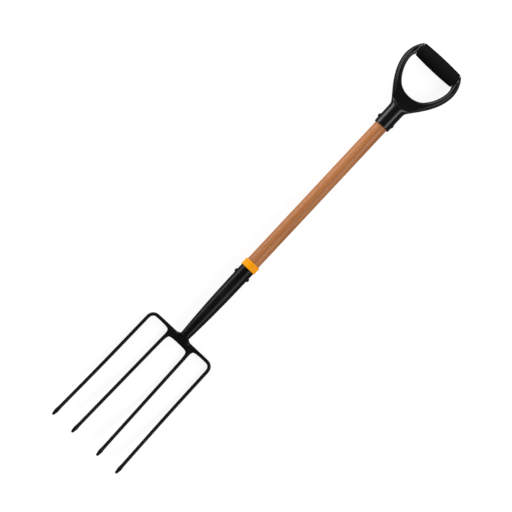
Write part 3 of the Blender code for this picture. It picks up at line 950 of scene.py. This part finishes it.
    def draw_neck(self, piece: Workpiece, columns: Sequence[float]) -> None:
        """Draws the neck and tang up from the crossbar, and raises the hub in front of it.

        Args:
            piece: The head, with its crossbar.
            columns: How far across each cut through the crossbar is.
        """
        top, bottom = self.bar_faces
        hub = (0.0, columns[0], columns[1])
        old = [at(0.0, across, top) for across in hub] + [at(0.0, across, bottom) for across in reversed(hub)]

        def hub_end(place: Vector, normal: Vector) -> bool:
            """Tells whether a face is on the crossbar's upper edge, within the hub."""
            return normal.x > 0.9 and place.y < columns[1] and same(place.x, SHOULDER_X)

        piece.pick(Pick.FACES, hub_end)
        bolster, neck = self.bolster_radius * fullness(10), self.neck_radius * fullness(10)
        rings = ((self.bolster_start, bolster), (self.bolster_end, bolster), (self.bolster_end, neck))
        for station, radius in (*rings, (self.neck_start, neck), (self.neck_end, neck)):
            new = []
            for index in range(6):
                angle = math.pi / 2 - math.pi * index / 5
                new.append(at(station, radius * math.cos(angle), AXIS_HEIGHT + radius * math.sin(angle)))
            piece.draw_out(old, new)
            old = new
        root, tip = self.tang_root / 2, self.tang_tip / 2
        for station, half in ((self.neck_end, root), (self.tang_start, root), (self.tang_end, tip)):
            front = [at(station, across, AXIS_HEIGHT + half) for across in (0.0, half / 2, half)]
            back = [at(station, across, AXIS_HEIGHT - half) for across in (half, half / 2, 0.0)]
            piece.draw_out(old, front + back)
            old = front + back
        raised = (
            (0.0, 0.0, 0.0140),
            (0.0, columns[0], 0.0118),
            (0.0, columns[1], 0.0018),
            (-self.bar_thickness, 0.0, 0.0050),
            (-self.bar_thickness, columns[0], 0.0034),
        )
        for station, across, rise in raised:
            corner = at(station, across, top)
            piece.settle([corner], [corner + Vector((0.0, 0.0, rise))])
        for across in hub:
            corner = at(0.0, across, bottom)
            piece.settle([corner], [corner + Vector((0.0, 0.0, 0.0012))])

    def build(self, material: bpy.types.Material) -> None:
        """Models the whole forging.

        Args:
            material: Its finish.
        """
        half_width = self.tine_width / 2
        columns = (
            self.hub_inner,
            self.hub_outer,
            self.inner_offset - half_width,
            self.inner_offset + half_width,
            self.fillet_end,
            self.outer_offset - self.corner_radius / math.tan((math.pi / 2 + self.splay) / 2),
        )
        top, bottom = self.bar_faces
        low, high = at(-self.bar_thickness, 0.0, bottom), at(0.0, columns[0], top)
        piece = Workpiece.block("forged_head", low, high)
        self.draw_frame(piece, columns)
        self.draw_web(piece, columns)
        self.draw_neck(piece, columns)
        piece.mirror_across()
        tip = SHOULDER_X - self.tine_reach + self.point_length
        piece.pick_sharp_edges(self.sharp_angle, lambda place: tip < place.x < SHOULDER_X + 0.0005)
        bpy.ops.mesh.bevel(offset=self.edge_rounding, segments=1, clamp_overlap=False)
        piece.smooth_out()
        piece.hand_over(material, "head_steel", "fork_head", math.radians(60))


@dataclass
class Shaft:
    """The wooden shaft with the tapered ferrule, its rivet and the coloured collar."""

    radius: float = 0.0145
    end: float = 0.6393
    ferrule_start: float = 0.0063
    ferrule_length: float = 0.1929
    ferrule_step: float = 0.00125
    mouth_radius: float = 0.0108
    wall: float = 0.0013
    taper_power: float = 2.6
    lip: float = 0.0005
    clearance: float = 0.0003
    neck_end: float = 0.0283
    step_rise: float = 0.0004
    step_length: float = 0.0005
    end_chamfer: float = 0.0015
    collar_start: float = 0.1912
    collar_end: float = 0.2071
    collar_wall: float = 0.0015
    bead: float = 0.0013
    bead_drop: float = 0.0011
    waist: float = 0.00035
    rivet_station: float = 0.1736
    sides: int = 96
    cuts: int = 30

    @property
    def ferrule_end(self) -> float:
        """Returns the station of the ferrule's upper end."""
        return self.ferrule_start + self.ferrule_length

    def ferrule_radius(self, station: float) -> float:
        """Returns the ferrule's outer radius, which narrows ever faster towards its mouth."""
        share = min((station - self.ferrule_start) / self.ferrule_length, 1.0)
        return mix(self.mouth_radius, self.radius + self.ferrule_step, 1 - (1 - share) ** self.taper_power)

    def stations(self, start: float, count: int = 26) -> list[float]:
        """Returns stations up to the ferrule's end, closer together near its mouth."""
        return [mix(start, self.ferrule_end, (index / count) ** 1.4) for index in range(count + 1)]

    def build_ferrule(self, material: bpy.types.Material) -> None:
        """Models the steel tube, with a rounded mouth.

        Args:
            material: Its finish.
        """
        stations = self.stations(self.ferrule_start)
        outer = [(station, self.ferrule_radius(station)) for station in stations]
        outer[0] = (self.ferrule_start, self.mouth_radius - self.lip)
        rounded = self.ferrule_start + self.lip
        outer.insert(1, (rounded, self.ferrule_radius(rounded)))
        inner = [(station, self.ferrule_radius(station) - self.wall) for station in reversed(stations)]
        piece = Workpiece.turned("steel_ferrule", outer + inner, Axis.HANDLE, self.sides, hollow=True)
        piece.hand_over(material, "ferrule_steel", "ferrule", math.radians(50))

    def build_wood(self, material: bpy.types.Material) -> None:
        """Models the shaft, turned down to fit inside the ferrule.

        Args:
            material: Its finish.
        """
        fit = self.wall + self.clearance
        stations = self.stations(self.neck_end + self.clearance)
        profile = [(station, self.ferrule_radius(station) - fit) for station in stations]
        step = self.ferrule_end + self.clearance
        start, end = step + self.step_length, self.end - self.end_chamfer
        profile.append((step, self.radius - self.step_rise))
        profile += [(mix(start, end, index / self.cuts), self.radius) for index in range(self.cuts + 1)]
        profile.append((self.end, self.radius - self.end_chamfer))
        piece = Workpiece.turned("ash_shaft", profile, Axis.HANDLE, self.sides)
        piece.hand_over(material, "shaft_wood", "handle_shaft", math.radians(50))

    def build_collar(self, material: bpy.types.Material) -> None:
        """Models the plastic ring: two rounded beads with a shallow waist between, and a stepped bore.

        Args:
            material: Its finish.
        """
        bore = self.radius + self.ferrule_step + self.clearance
        outside = bore + self.collar_wall
        rim = quarter((self.bead, outside - self.bead_drop), (-self.bead, self.bead_drop), (0, 30, 60, 90))
        profile = [(self.collar_start, bore)]
        profile += [(self.collar_start + inset, radius) for inset, radius in rim]
        for share in (0.0, 0.10, 0.22, 0.36, 0.5, 0.64, 0.78, 0.90, 1.0):
            station = mix(self.collar_start + 1.5 * self.bead, self.collar_end - 1.5 * self.bead, share)
            profile.append((station, outside - self.waist * math.sin(math.pi * share) ** 0.5))
        profile += [(self.collar_end - inset, radius) for inset, radius in reversed(rim)]
        shaft_bore = self.radius + self.clearance
        step = self.ferrule_end + self.clearance
        profile += [(self.collar_end, shaft_bore), (step, shaft_bore), (step, bore)]
        piece = Workpiece.turned("plastic_collar", profile, Axis.HANDLE, self.sides, hollow=True)
        piece.hand_over(material, "collar_plastic", "collar", math.radians(50))


@dataclass
class Rivet:
    """A rivet across the handle: a shank and a domed head at each end."""

    name: str
    node: str
    station: float
    seat_radius: float
    low_head: float
    head_radius: float = 0.0040
    head_height: float = 0.0028
    rim_share: float = 0.25
    sink: float = 0.0008
    shank_radius: float = 0.0025
    sides: int = 32

    def head(self, height: float) -> list[Spot]:
        """Returns one head's profile, from its crown down to the shank.

        Args:
            height: How far the head stands above its seat.

        Returns:
            Pairs of a distance across the handle and a radius.
        """
        rim = self.rim_share * height
        dome = (height - rim, self.head_radius)
        profile = quarter((self.seat_radius + rim, 0.0), dome, (2, 14, 28, 44, 60, 76, 90))
        seat = self.seat_radius - self.sink
        return [*profile, (seat, self.head_radius), (seat, self.shank_radius)]

    def build(self, material: bpy.types.Material) -> None:
        """Models the rivet.

        Args:
            material: Its finish.
        """
        lower = [(-across, radius) for across, radius in self.head(self.low_head)]
        upper = self.head(self.head_height)[::-1]
        piece = Workpiece.turned(self.name, lower + upper, Axis.ACROSS, self.sides, self.station)
        piece.hand_over(material, "rivet_steel", self.node, math.radians(50))


@dataclass
class DGrip:
    """The moulded grip: round socket, flared web, two fluted arms and the bar through the sleeve."""

    socket_start: float = 0.5873
    socket_middle: float = 0.6100
    socket_radius: float = 0.0180
    rim_length: float = 0.0012
    rim_drop: float = 0.0005
    bore_radius: float = 0.0148
    bore_depth: float = 0.0520
    rivet_station: float = 0.6019
    flare_start: float = 0.6335
    flare_cuts: tuple[tuple[float, float, float], ...] = (
        (0.20, 0.0130, 8.0),
        (0.165, 0.0144, 5.5),
        (0.13, 0.0161, 3.4),
        (0.07, 0.0173, 2.3),
    )
    web_cut: tuple[float, float, float] = (0.33, 0.0130, 6.0)
    outer_widest: Spot = (0.7335, 0.0664)
    inner_widest: Spot = (0.7310, 0.0525)
    shoulder: Spot = (0.6881, 0.0366)
    shoulder_turn: float = math.radians(37)
    bar_station: float = 0.7569
    sleeve_half: float = 0.0488
    arm_end_radius: float = 0.0144
    arm_end_depth: float = 0.0130
    core_radius: float = 0.0090
    crotch_station: float = 0.6706
    crotch_depth: float = 0.0130
    crotch_edge_depth: float = 0.01209
    crotch_inset: float = 0.00338
    crotch_swell: float = 0.0010
    root_share: float = 0.42
    root_depth: float = 0.01235
    arm_shares: tuple[float, ...] = (0.53, 0.64, 0.74, 0.83, 0.92, 1.0)
    arm_depth: float = 0.0094
    arm_fullness: float = 1.07
    top_shares: tuple[float, ...] = (0.28, 0.52, 0.74)
    pairing: float = 1.35
    outer_inset: float = 0.0042
    inner_inset: float = 0.0026
    inset_limit: float = 0.35
    outer_swell: float = 0.0023
    inner_swell: float = 0.0012
    flute_rim: float = 0.0018
    flute_depth: float = 0.0025

    def outer_side(self, share: float) -> Vector:
        """Returns a place on the outer edge, from the socket to the grip's widest place."""
        start, radius = self.flare_start, self.socket_radius
        return bezier(((start, radius), (start + 0.0115, radius), (0.6815, 0.0664), self.outer_widest), share)

    def outer_top(self, share: float) -> Vector:
        """Returns a place on the outer edge, from the widest place to the sleeve."""
        top, end = self.bar_station + self.arm_end_radius, self.sleeve_half
        return bezier((self.outer_widest, (0.7513, 0.0664), (top, end + 0.0049), (top, end)), share)

    def inner_side(self, share: float) -> Vector:
        """Finds a place on the opening's edge, from its middle round its shoulder to its widest place.

        Args:
            share: How far along the edge, with the shoulder at 0.5.

        Returns:
            The station and the distance across.
        """
        crotch, shoulder = self.crotch_station, Vector(self.shoulder)
        way = Vector((math.cos(self.shoulder_turn), math.sin(self.shoulder_turn)))
        if share < 0.5:
            return bezier(((crotch, 0.0), (crotch, 0.0165), shoulder - way * 0.0199, shoulder), 2 * share)
        return bezier((shoulder, shoulder + way * 0.0110, (0.7141, 0.0525), self.inner_widest), 2 * share - 1)

    def inner_top(self, share: float) -> Vector:
        """Returns a place on the opening's edge, from its widest place to the sleeve."""
        low, end = self.bar_station - self.arm_end_radius, self.sleeve_half
        return bezier((self.inner_widest, (0.7385, 0.0525), (low, end + 0.0008), (low, end)), share)

    def row(self, station: float, half_width: float, half_depth: float, power: float) -> list[Vector]:
        """Returns the corners of a cut across the socket or flare.

        Args:
            station: Where the cut is.
            half_width: Half its size across the handle.
            half_depth: Half its size from front to back.
            power: 2 for a round, more for a flatter front and back.

        Returns:
            Front, middle and back corners of the four columns, from the middle outwards.
        """
        reach, depth = half_width * fullness(16), half_depth * fullness(16)
        corners = []
        for column in range(4):
            angle = math.pi / 2 - column * math.pi / 8
            across = reach * math.cos(angle) if column else 0.0
            middle = reach if column == 3 else across
            corners += stack((station, across), (station, middle), depth * math.sin(angle) ** (2 / power))
        return corners

    def arm_gate(self, outside: Vector, inside: Vector, half_depth: float) -> list[Vector]:
        """Returns the corners of a cut through an arm.

        Args:
            outside: The station and the distance across on the outer edge.
            inside: The same on the opening's edge.
            half_depth: Half the arm's size from front to back.

        Returns:
            Front, middle and back corners of the inner side, then of the outer side.
        """
        width = (outside - inside).length
        reach = (outside - inside) / width
        corners = []
        inner = (inside, 1.0, self.inner_inset, self.inner_swell)
        outer = (outside, -1.0, self.outer_inset, self.outer_swell)
        for edge, way, inset, swell in (inner, outer):
            shoulder = edge + reach * min(inset, self.inset_limit * width) * way
            middle = edge - reach * swell * way
            corners += stack(shoulder, middle, half_depth)
        return corners

    def bar_gate(self, across: float, radius: float, half_depth: float) -> list[Vector]:
        """Returns the corners of a round or oval cut through the hand bar.

        Args:
            across: How far across the cut is.
            radius: Half the bar's size along the handle.
            half_depth: Half its size from front to back.

        Returns:
            Front, middle and back corners of the inner side, then of the outer side.
        """
        depth = half_depth * fullness(6) * math.sin(math.pi / 3)
        corners = []
        for reach in (-radius * fullness(6), radius * fullness(6)):
            edge, middle = self.bar_station + reach / 2, self.bar_station + reach
            corners += stack((edge, across), (middle, across), depth)
        return corners

    def grid_row(self, station: float, columns: Sequence[float], half_depth: float) -> list[Vector]:
        """Returns the corners of a cut through the plain block that the grip starts from.

        Args:
            station: Where the cut is.
            columns: How far across its corners are.
            half_depth: Half its size from front to back.

        Returns:
            Front, middle and back corners of each column, from the middle outwards.
        """
        corners = []
        for across in columns:
            corners += stack((station, across), (station, across), half_depth)
        return corners

    def crotch_row(self) -> list[Vector]:
        """Finds the corners of the opening's bottom edge, and of the arm's root beside it.

        Returns:
            Front, middle and back corners of the four columns, from the middle outwards.
        """
        corners = []
        for share in (0.0, 0.12):
            station, across = self.inner_side(share)
            edge, middle = station - self.crotch_inset, station + self.crotch_swell
            corners += stack((edge, across), (middle, across), self.crotch_edge_depth)
        outside = self.outer_side(self.root_share)
        inside = self.inner_side(self.root_share**self.pairing)
        return corners + self.arm_gate(outside, inside, self.root_depth)

    def draw_socket(self, piece: Workpiece, old: list[Vector]) -> None:
        """Draws the flare and the socket down from the middle block, and bores the socket.

        Args:
            piece: The grip.
            old: The corners of the block's lower face.
        """
        radius = self.socket_radius
        start = self.socket_start
        end = start + self.bore_depth
        cuts = []
        for share, depth, power in self.flare_cuts:
            edge = self.outer_side(share)
            cuts.append(self.row(edge.x, edge.y, depth, power))
        rounds = (
            (self.flare_start, radius),
            (self.socket_middle, radius),
            (start + self.rim_length, radius),
            (start, radius - self.rim_drop),
            (start, self.bore_radius),
            (start + self.rim_length, self.bore_radius),
            (end - self.rim_length, self.bore_radius),
            (end, self.bore_radius),
        )
        for station, size in rounds:
            cuts.append(self.row(station, size, size, 2.0))
        for new in cuts:
            piece.draw_out(old, new)
            old = new

    def draw_arm(self, piece: Workpiece, old: list[Vector]) -> None:
        """Draws an arm out of the block's upper outer face, and ends it with the bar through the sleeve.

        Args:
            piece: The grip.
            old: The corners of the face.
        """
        gates = []
        for share in self.arm_shares:
            depth = mix(self.crotch_depth, self.arm_depth, ease(share)) * self.arm_fullness
            gates.append(self.arm_gate(self.outer_side(share), self.inner_side(share**self.pairing), depth))
        for share in self.top_shares:
            depth = mix(self.arm_depth, self.arm_end_depth, ease(share)) * self.arm_fullness
            gates.append(self.arm_gate(self.outer_top(share), self.inner_top(share), depth))
        half, core = self.sleeve_half, self.core_radius
        for across in (half + 0.0016, half):
            gates.append(self.bar_gate(across, self.arm_end_radius, self.arm_end_depth))
        for across in (half, half - 0.0010, 0.0):
            gates.append(self.bar_gate(across, core, core))
        for new in gates:
            piece.draw_out(old, new)
            old = new

    def on_panel(self, place: Vector, normal: Vector, way: float) -> bool:
        """Tells whether a face lies on the broad side of the web or of an arm.

        Args:
            place: The face's middle.
            normal: Its normal.
            way: 1.0 for the front, -1.0 for the back.

        Returns:
            Whether the recess takes the face in.
        """
        station = place.x - SHOULDER_X
        first_cut = self.flare_cuts[0]
        start = self.outer_side(first_cut[0]).x
        end = self.bar_station + self.arm_end_radius * 0.4
        outward = normal.z * way > 0.75 and (place.z - AXIS_HEIGHT) * way > 0.004
        clear_of_bar = station < 0.700 or abs(place.y) > self.sleeve_half + 0.003
        return outward and clear_of_bar and start < station < end

    def cut_flutes(self, piece: Workpiece) -> None:
        """Sinks one shallow recess inside a rim into the web and both arms, at the front and at the back.

        Args:
            piece: The whole grip, before it is smoothed.
        """
        for way in (1.0, -1.0):
            piece.pick(Pick.FACES, lambda place, normal, way=way: self.on_panel(place, normal, way))
            bpy.ops.mesh.inset(thickness=self.flute_rim, depth=-self.flute_depth, use_even_offset=True)

    def build(self, material: bpy.types.Material) -> None:
        """Models the whole moulding.

        Args:
            material: Its finish.
        """
        columns = (0.0, 0.012, 0.024, 0.036)
        low, high, depth = 0.655, 0.668, 0.012
        first, last = at(low, 0.0, AXIS_HEIGHT - depth), at(high, columns[1], AXIS_HEIGHT + depth)
        piece = Workpiece.block("moulded_grip", first, last)
        bpy.ops.mesh.select_all(action="SELECT")
        bpy.ops.mesh.bisect(plane_co=(0.0, 0.0, AXIS_HEIGHT), plane_no=(0.0, 0.0, 1.0))
        piece.pick(Pick.FACES, lambda place, normal: normal.y > 0.9)
        for before, after in zip(columns[1:], columns[2:]):
            piece.extrude(Vector((0.0, after - before, 0.0)))
        lower, upper = self.grid_row(low, columns, depth), self.grid_row(high, columns, depth)
        piece.pick(Pick.FACES, lambda place, normal: normal.x < -0.9)
        self.draw_socket(piece, lower)

        def arm_root(place: Vector, normal: Vector) -> bool:
            """Tells whether a face is at the block's upper end, in its outermost column."""
            return normal.x > 0.9 and place.y > columns[2] and same(place.x, SHOULDER_X + high)

        piece.pick(Pick.FACES, arm_root)
        self.draw_arm(piece, upper[6:])
        share, half_depth, power = self.web_cut
        edge = self.outer_side(share)
        piece.settle(lower, self.row(edge.x, edge.y, half_depth, power))
        piece.settle(upper, self.crotch_row())
        piece.mirror_across()
        self.cut_flutes(piece)
        piece.smooth_out()
        piece.hand_over(material, "grip_plastic", "d_grip", math.radians(60))


@dataclass
class Sleeve:
    """The soft barrel-shaped sleeve on the hand bar, with a bead at each end."""

    station: float = 0.7569
    length: float = 0.0970
    middle_radius: float = 0.0173
    end_radius: float = 0.0157
    rounding: float = 0.0024
    bore: float = 0.0093
    bead: float = 0.0052
    groove: float = 0.0004
    sides: int = 96
    cuts: int = 40

    def radius(self, across: float) -> float:
        """Returns the sleeve's radius this far from its middle."""
        return mix(self.middle_radius, self.end_radius, (across / (self.length / 2)) ** 2)

    def build(self, material: bpy.types.Material) -> None:
        """Models the sleeve.

        Args:
            material: Its finish.
        """
        half = self.length / 2
        edge = half - self.rounding
        centre = (edge, self.radius(edge) - self.rounding)
        side = quarter(centre, (self.rounding, self.rounding), (0, 15, 30, 45, 60, 75, 90))
        bead_edge = half - self.bead
        trough = bead_edge - self.groove
        body_edge = trough - self.groove
        side.append((bead_edge, self.radius(bead_edge)))
        side.append((trough, self.radius(trough) - self.groove))
        side.append((body_edge, self.radius(body_edge)))
        profile = [(-half, self.bore)]
        profile += [(-across, radius) for across, radius in side]
        for index in range(1, self.cuts):
            across = mix(-body_edge, body_edge, index / self.cuts)
            profile.append((across, self.radius(across)))
        profile += [*reversed(side), (half, self.bore)]
        piece = Workpiece.turned(
            "grip_sleeve_rubber", profile, Axis.ACROSS, self.sides, station=self.station, hollow=True
        )
        piece.hand_over(material, "sleeve_rubber", "grip_sleeve", math.radians(40))


@dataclass(frozen=True)
class SoftBox:
    """A large, evenly lit box that faces the fork."""

    name: str
    place: tuple[float, float, float]
    size: tuple[float, float]
    power: float

    def hang(self) -> None:
        """Adds the light and turns it towards the fork's middle."""
        place = Vector(self.place)
        bpy.ops.object.select_all(action="DESELECT")
        bpy.ops.object.light_add(type="AREA", location=place)
        light = bpy.context.active_object
        light.name = self.name
        light.rotation_euler = (-place).to_track_quat("-Z", "Y").to_euler()
        light.data.shape = "RECTANGLE"
        light.data.size, light.data.size_y = self.size
        light.data.energy = self.power


@dataclass
class Studio:
    """The floor, the soft light and the camera."""

    view_centre: Spot = (-0.0186, 0.0055)
    view_turn: float = math.radians(-46.92)
    distance: float = 3.031
    lens: float = 105.0
    sensor_width: float = 36.0
    floor_size: float = 12.0
    floor_drop: float = 0.0002
    world_glow: float = 0.19
    boxes: tuple[SoftBox, ...] = (
        SoftBox("soft_box_left", (0.9, 1.5, 0.52), (3.4, 0.95), 69.0),
        SoftBox("soft_box_right", (0.2, -1.32, 1.08), (3.0, 0.75), 36.0),
    )

    def lay_floor(self) -> None:
        """Lays the plain floor just under the fork, which doesn't mirror it or catch light from it."""
        bpy.ops.object.select_all(action="DESELECT")
        bpy.ops.mesh.primitive_plane_add(size=self.floor_size, location=(0.0, 0.0, -self.floor_drop))
        floor = bpy.context.active_object
        floor.name = "studio_floor"
        floor.visible_glossy = False
        floor.visible_diffuse = False
        floor.data.materials.append(StudioFloor().make())

    def light_world(self) -> None:
        """Gives the world an even white glow, shown as it is."""
        world = bpy.data.worlds.new("studio")
        world.use_nodes = True
        background = world.node_tree.nodes["Background"]
        background.inputs["Color"].default_value = (1.0, 1.0, 1.0, 1.0)
        background.inputs["Strength"].default_value = self.world_glow
        bpy.context.scene.world = world
        bpy.context.scene.view_settings.view_transform = "Standard"

    def place_camera(self) -> None:
        """Places the camera straight above the fork, turned as the photo is."""
        place = (*self.view_centre, self.distance + AXIS_HEIGHT)
        bpy.ops.object.camera_add(location=place, rotation=(0.0, 0.0, self.view_turn))
        camera = bpy.context.active_object
        camera.data.lens = self.lens
        camera.data.sensor_width = self.sensor_width
        bpy.context.scene.camera = camera

    def set_up(self) -> None:
        """Lays the floor, hangs the lights and places the camera."""
        self.lay_floor()
        for box in self.boxes:
            box.hang()
        self.light_world()
        self.place_camera()


def main() -> None:
    """Builds every sub-assembly, dresses it, and sets up the studio."""
    logging.basicConfig(level=logging.INFO, format="%(name)s: %(message)s")
    rivet_paint = BlackPaint("rivet_black", tone=(0.006, 0.006, 0.0064), gloss=0.32).make()
    shaft = Shaft()
    grip = DGrip()
    ForkHead().build(BlackPaint("head_black").make())
    shaft.build_ferrule(BlackPaint("ferrule_black", tone=(0.0020, 0.0020, 0.0021), gloss=0.32).make())
    shaft.build_wood(StainedAsh().make())
    yellow = MouldedPlastic(
        "collar_yellow",
        tone=(0.86, 0.31, 0.0006),
        bloom=(0.88, 0.35, 0.002),
        gloss=0.42,
        shine=0.09,
    )
    shaft.build_collar(yellow.make())
    lower_rivet = Rivet(
        "ferrule_rivet_steel",
        "ferrule_rivet",
        station=shaft.rivet_station,
        seat_radius=shaft.ferrule_radius(shaft.rivet_station),
        low_head=0.0028,
    )
    lower_rivet.build(rivet_paint)
    upper_rivet = Rivet(
        "grip_rivet_steel",
        "grip_rivet",
        station=grip.rivet_station,
        seat_radius=grip.socket_radius,
        low_head=0.0016,
    )
    upper_rivet.build(rivet_paint)
    black = MouldedPlastic(
        "grip_black",
        tone=(0.0015, 0.0015, 0.0016),
        bloom=(0.0030, 0.0030, 0.0032),
        gloss=0.24,
        parting_line=True,
    )
    grip.build(black.make())
    Sleeve().build(SoftRubber().make())
    Studio().set_up()


if __name__ == "__main__":
    main()
